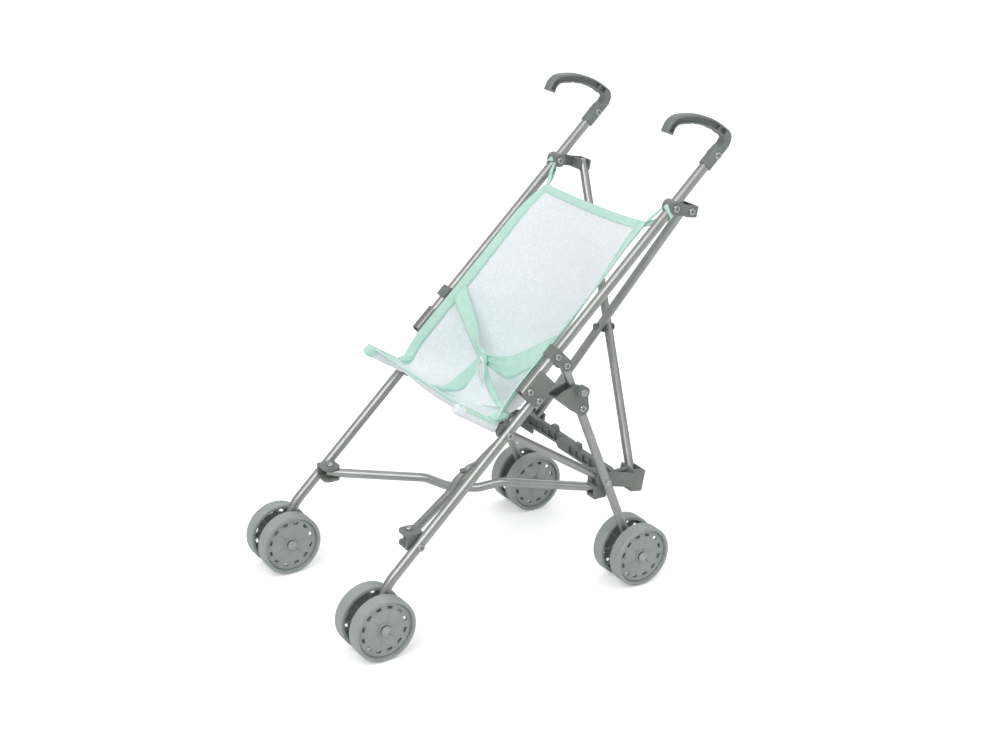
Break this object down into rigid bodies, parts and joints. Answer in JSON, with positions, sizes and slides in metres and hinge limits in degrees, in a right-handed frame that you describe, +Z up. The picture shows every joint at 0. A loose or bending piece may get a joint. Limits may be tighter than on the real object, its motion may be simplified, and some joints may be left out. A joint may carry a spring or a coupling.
{
  "type": "doll stroller",
  "caption": "Folding umbrella-type doll stroller with a tube frame, cane handles, crossed back and base tubes, twin wheels on each leg and a sling seat with a harness.",
  "frame": {"origin": "under the middle of the stroller's box, on the floor", "axes": "+Z up, the stroller faces -Y, +X is its left side"},
  "size_m": [0.268, 0.4678, 0.5396],
  "materials": {
    "tube_metal": "gloss silver grey paint",
    "grey_plastic": "satin",
    "steel": "satin",
    "wheel_plastic": "satin",
    "cloth": "woven",
    "binding": "woven",
    "ring_plastic": "gloss"
  },
  "bodies": {
    "right_side": {"right_handle": "grey_plastic", "right_handle_tube": "tube_metal", "right_front_leg": "tube_metal", "right_rear_leg": "tube_metal", "right_link": "tube_metal", "right_link_clamp": "grey_plastic", "right_hinge_plate": "grey_plastic", "right_seat_tube": "tube_metal", "right_seat_boss": "grey_plastic", "right_top_bracket": "grey_plastic", "right_rear_block": "grey_plastic", "right_rear_bolt": "steel", "right_base_clevis": "grey_plastic", "right_base_clamp": "grey_plastic", "right_front_axle": "steel", "right_rear_axle": "steel", "right_top_loop": "binding", "right_seat_side": "cloth", "seat_sling": "cloth", "crotch_strap": "binding", "strap_ring": "ring_plastic", "left_waist_strap": "binding", "right_waist_strap": "binding"},
    "left_side": {"left_handle": "grey_plastic", "left_handle_tube": "tube_metal", "left_front_leg": "tube_metal", "left_rear_leg": "tube_metal", "left_link": "tube_metal", "left_link_clamp": "grey_plastic", "left_hinge_plate": "grey_plastic", "left_seat_tube": "tube_metal", "left_seat_boss": "grey_plastic", "left_top_bracket": "grey_plastic", "left_rear_block": "grey_plastic", "left_rear_bolt": "steel", "left_base_clevis": "grey_plastic", "left_base_clamp": "grey_plastic", "left_front_axle": "steel", "left_rear_axle": "steel", "left_top_loop": "binding", "left_seat_side": "cloth"},
    "back_pivot": {"back_pivot": "grey_plastic"},
    "back_tube_a": {"back_cross_tube_a": "tube_metal"},
    "back_tube_b": {"back_cross_tube_b": "tube_metal"},
    "base_pivot": {"base_pivot": "grey_plastic"},
    "base_tube_c": {"base_cross_tube_c": "tube_metal"},
    "base_tube_d": {"base_cross_tube_d": "tube_metal"},
    "left_brace": {"left_brace": "grey_plastic"},
    "right_brace": {"right_brace": "grey_plastic"},
    "left_catch": {"left_catch": "grey_plastic"},
    "left_front_wheel_outer": {"left_front_wheel_outer": "wheel_plastic"},
    "left_front_wheel_inner": {"left_front_wheel_inner": "wheel_plastic"},
    "left_rear_wheel_outer": {"left_rear_wheel_outer": "wheel_plastic"},
    "left_rear_wheel_inner": {"left_rear_wheel_inner": "wheel_plastic"},
    "right_catch": {"right_catch": "grey_plastic"},
    "right_front_wheel_outer": {"right_front_wheel_outer": "wheel_plastic"},
    "right_front_wheel_inner": {"right_front_wheel_inner": "wheel_plastic"},
    "right_rear_wheel_outer": {"right_rear_wheel_outer": "wheel_plastic"},
    "right_rear_wheel_inner": {"right_rear_wheel_inner": "wheel_plastic"}
  },
  "joints": [
    {"name": "fold", "type": "slide", "parent": "right_side", "child": "left_side", "axis": [-1, 0, 0], "range_m": [0, 0.12], "deforming": ["seat_sling", "left_waist_strap", "right_waist_strap", "crotch_strap", "strap_ring"]},
    {"name": "back_centre", "type": "slide", "parent": "right_side", "child": "back_pivot", "axis": [-0.9727, -0.0384, -0.229], "range_m": [0, 0.06169]},
    {"name": "back_turn_a", "type": "hinge", "parent": "back_pivot", "child": "back_tube_a", "pos_m": [0, 0.16191, 0.26667], "axis": [0, 0.9862, -0.1654], "range_deg": [0, 18.28]},
    {"name": "back_turn_b", "type": "hinge", "parent": "back_pivot", "child": "back_tube_b", "pos_m": [0, 0.16191, 0.26667], "axis": [0, 0.9862, -0.1654], "range_deg": [-18.28, 0]},
    {"name": "base_centre", "type": "slide", "parent": "right_side", "child": "base_pivot", "axis": [-0.9738, -0.2272, 0], "range_m": [0, 0.06161]},
    {"name": "base_turn_c", "type": "hinge", "parent": "base_pivot", "child": "base_tube_c", "pos_m": [0, -0.02486, 0.1145], "axis": [0, 0, 1], "range_deg": [0, 23.42]},
    {"name": "base_turn_d", "type": "hinge", "parent": "base_pivot", "child": "base_tube_d", "pos_m": [0, -0.02486, 0.1145], "axis": [0, 0, 1], "range_deg": [-23.42, 0]},
    {"name": "brace_lift_left", "type": "hinge", "parent": "left_side", "child": "left_brace", "pos_m": [0.09, 0.11304, 0.128], "axis": [0, 1, 0], "range_deg": [0, 70.53]},
    {"name": "brace_lift_right", "type": "hinge", "parent": "right_side", "child": "right_brace", "pos_m": [-0.09, 0.11934, 0.128], "axis": [0, 1, 0], "range_deg": [-70.53, 0]},
    {"name": "left_catch_release", "type": "hinge", "parent": "left_side", "child": "left_catch", "pos_m": [0.11, 0.05195, 0.23039], "axis": [1, 0, 0], "range_deg": [0, 40]},
    {"name": "left_front_wheel_outer_spin", "type": "hinge", "parent": "left_side", "child": "left_front_wheel_outer", "pos_m": [0.126, -0.19786, 0.036], "axis": [1, 0, 0], "continuous": true},
    {"name": "left_front_wheel_inner_spin", "type": "hinge", "parent": "left_side", "child": "left_front_wheel_inner", "pos_m": [0.094, -0.19786, 0.036], "axis": [1, 0, 0], "continuous": true},
    {"name": "left_rear_wheel_outer_spin", "type": "hinge", "parent": "left_side", "child": "left_rear_wheel_outer", "pos_m": [0.126, 0.13514, 0.036], "axis": [1, 0, 0], "continuous": true},
    {"name": "left_rear_wheel_inner_spin", "type": "hinge", "parent": "left_side", "child": "left_rear_wheel_inner", "pos_m": [0.094, 0.13514, 0.036], "axis": [1, 0, 0], "continuous": true},
    {"name": "right_catch_release", "type": "hinge", "parent": "right_side", "child": "right_catch", "pos_m": [-0.11, 0.05195, 0.23039], "axis": [1, 0, 0], "range_deg": [0, 40]},
    {"name": "right_front_wheel_outer_spin", "type": "hinge", "parent": "right_side", "child": "right_front_wheel_outer", "pos_m": [-0.126, -0.19786, 0.036], "axis": [1, 0, 0], "continuous": true},
    {"name": "right_front_wheel_inner_spin", "type": "hinge", "parent": "right_side", "child": "right_front_wheel_inner", "pos_m": [-0.094, -0.19786, 0.036], "axis": [1, 0, 0], "continuous": true},
    {"name": "right_rear_wheel_outer_spin", "type": "hinge", "parent": "right_side", "child": "right_rear_wheel_outer", "pos_m": [-0.126, 0.13514, 0.036], "axis": [1, 0, 0], "continuous": true},
    {"name": "right_rear_wheel_inner_spin", "type": "hinge", "parent": "right_side", "child": "right_rear_wheel_inner", "pos_m": [-0.094, 0.13514, 0.036], "axis": [1, 0, 0], "continuous": true}
  ],
  "couplings": [
    {"joint": "back_centre", "follows": "fold", "ratio": 0.51405},
    {"joint": "back_turn_a", "follows": "fold", "rad_per_m": 2.6575},
    {"joint": "back_turn_b", "follows": "fold", "rad_per_m": -2.6575},
    {"joint": "base_centre", "follows": "fold", "ratio": 0.51343},
    {"joint": "base_turn_c", "follows": "fold", "rad_per_m": 3.4063},
    {"joint": "base_turn_d", "follows": "fold", "rad_per_m": -3.4063},
    {"joint": "brace_lift_left", "follows": "fold", "rad_per_m": 10.258},
    {"joint": "brace_lift_right", "follows": "fold", "rad_per_m": -10.258}
  ]
}
